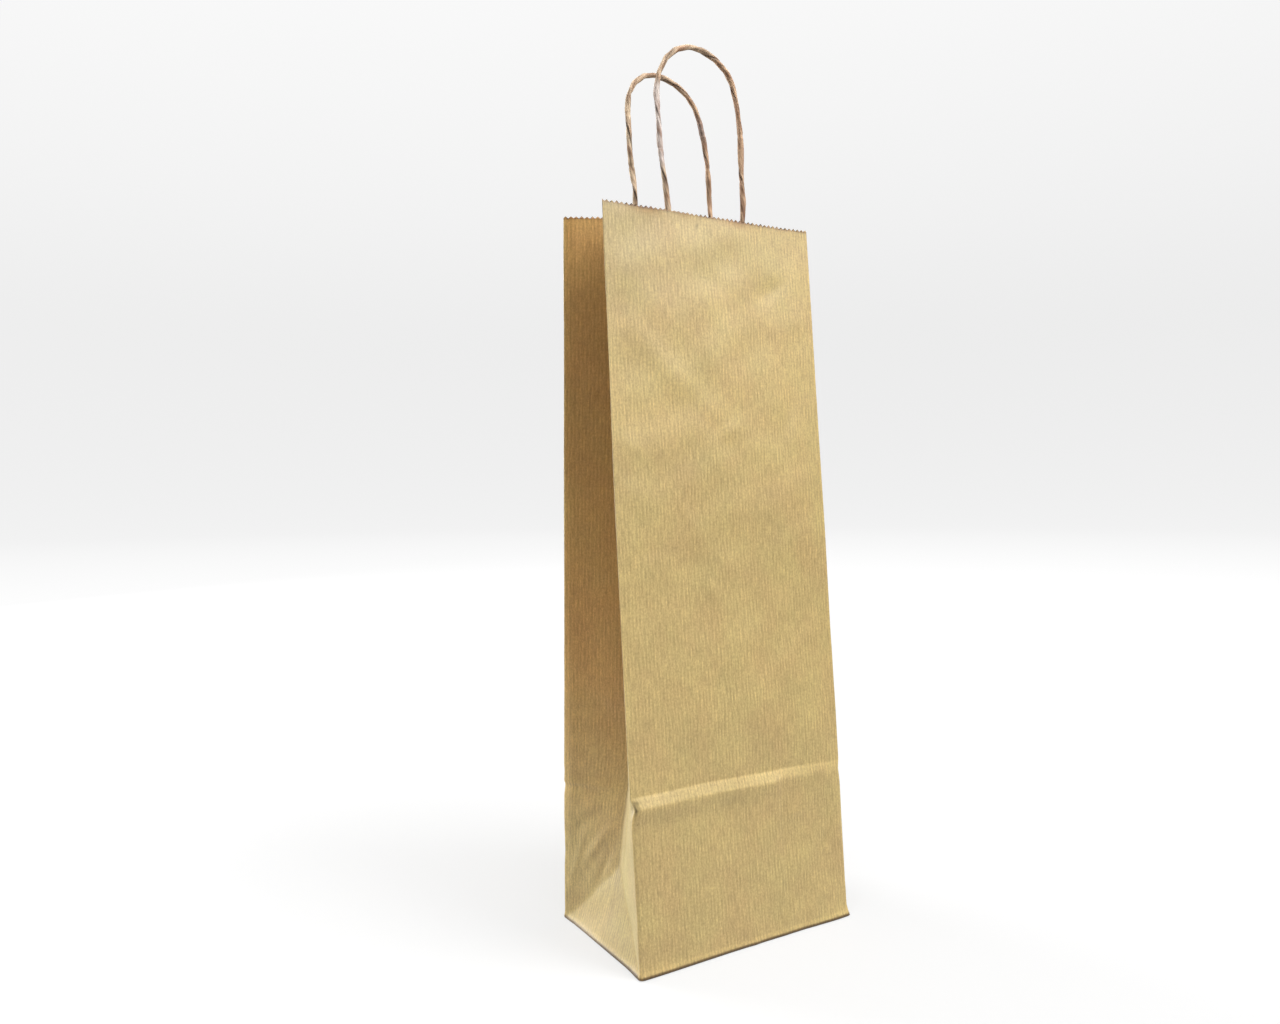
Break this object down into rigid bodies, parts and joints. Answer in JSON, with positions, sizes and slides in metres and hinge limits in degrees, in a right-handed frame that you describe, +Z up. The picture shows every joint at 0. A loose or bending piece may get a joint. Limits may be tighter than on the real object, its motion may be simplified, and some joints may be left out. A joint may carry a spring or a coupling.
{
  "type": "wine gift bag",
  "caption": "Tall narrow ribbed kraft paper bag for a bottle, standing on a folded square base, with folding side gussets and twisted paper loop handles at the mouth.",
  "frame": {"origin": "centre of the base rectangle, on the surface the bag stands on", "axes": "+X across the front panel to its right, +Y from the front panel to the back panel, +Z up to the mouth and handles"},
  "size_m": [0.14, 0.086, 0.4987],
  "materials": {
    "panel_kraft": "machine-glazed ribbed kraft, satin",
    "gusset_kraft": "machine-glazed ribbed kraft, satin",
    "patch_paper": "unglazed kraft, matt",
    "handle_cord": "twisted kraft paper cord, satin"
  },
  "bodies": {
    "bag_body": {"bottom_front_flap": "panel_kraft", "bottom_back_flap": "panel_kraft", "bottom_left_tuck": "gusset_kraft", "bottom_right_tuck": "gusset_kraft", "front_lower_panel": "panel_kraft", "back_lower_panel": "panel_kraft", "back_panel": "panel_kraft", "side_seam_flap": "gusset_kraft", "left_base_triangle": "gusset_kraft", "right_base_triangle": "gusset_kraft", "left_front_lower_gusset": "gusset_kraft", "left_back_lower_gusset": "gusset_kraft", "right_front_lower_gusset": "gusset_kraft", "right_back_lower_gusset": "gusset_kraft", "back_patch_outer": "patch_paper", "back_patch_inner": "patch_paper", "back_handle_left_end": "handle_cord", "back_handle_right_end": "handle_cord"},
    "front_wall": {"front_panel": "panel_kraft", "front_patch_outer": "patch_paper", "front_patch_inner": "patch_paper", "front_handle_left_end": "handle_cord", "front_handle_right_end": "handle_cord"},
    "left_front_fold": {"left_front_gusset": "gusset_kraft"},
    "right_front_fold": {"right_front_gusset": "gusset_kraft"},
    "left_back_fold": {"left_back_gusset": "gusset_kraft"},
    "right_back_fold": {"right_back_gusset": "gusset_kraft"},
    "front_grip": {"front_handle": "handle_cord"},
    "back_grip": {"back_handle": "handle_cord"}
  },
  "joints": [
    {"name": "mouth_fold", "type": "hinge", "parent": "bag_body", "child": "front_wall", "pos_m": [0, -0.03539, 0.08767], "axis": [-1, 0, 0], "range_deg": [-6, 3]},
    {"name": "left_front_gusset_fold", "type": "hinge", "parent": "front_wall", "child": "left_front_fold", "pos_m": [-0.07, -0.02626, 0.1993], "axis": [0, -0.0837, -0.9965], "range_deg": [-25, 12.5]},
    {"name": "right_front_gusset_fold", "type": "hinge", "parent": "front_wall", "child": "right_front_fold", "pos_m": [0.07, -0.02626, 0.1993], "axis": [0, 0.0837, 0.9965], "range_deg": [-25, 12.5]},
    {"name": "left_back_gusset_fold", "type": "hinge", "parent": "bag_body", "child": "left_back_fold", "pos_m": [-0.07, 0.03916, 0.19996], "axis": [0, -0.0192, 0.9998], "range_deg": [-25, 12.5]},
    {"name": "right_back_gusset_fold", "type": "hinge", "parent": "bag_body", "child": "right_back_fold", "pos_m": [0.07, 0.03916, 0.19996], "axis": [0, 0.0192, -0.9998], "range_deg": [-25, 12.5]},
    {"name": "front_handle_swing", "type": "hinge", "parent": "front_wall", "child": "front_grip", "pos_m": [0, -0.00602, 0.40091], "axis": [1, 0, 0], "range_deg": [-2.5, 90]},
    {"name": "back_handle_swing", "type": "hinge", "parent": "bag_body", "child": "back_grip", "pos_m": [0, 0.03197, 0.40246], "axis": [-1, 0, 0], "range_deg": [-2.5, 90]}
  ],
  "couplings": [
    {"joint": "left_front_gusset_fold", "follows": "mouth_fold", "ratio": 4.1},
    {"joint": "right_front_gusset_fold", "follows": "mouth_fold", "ratio": 4.1},
    {"joint": "left_back_gusset_fold", "follows": "mouth_fold", "ratio": 4.1},
    {"joint": "right_back_gusset_fold", "follows": "mouth_fold", "ratio": 4.1}
  ]
}
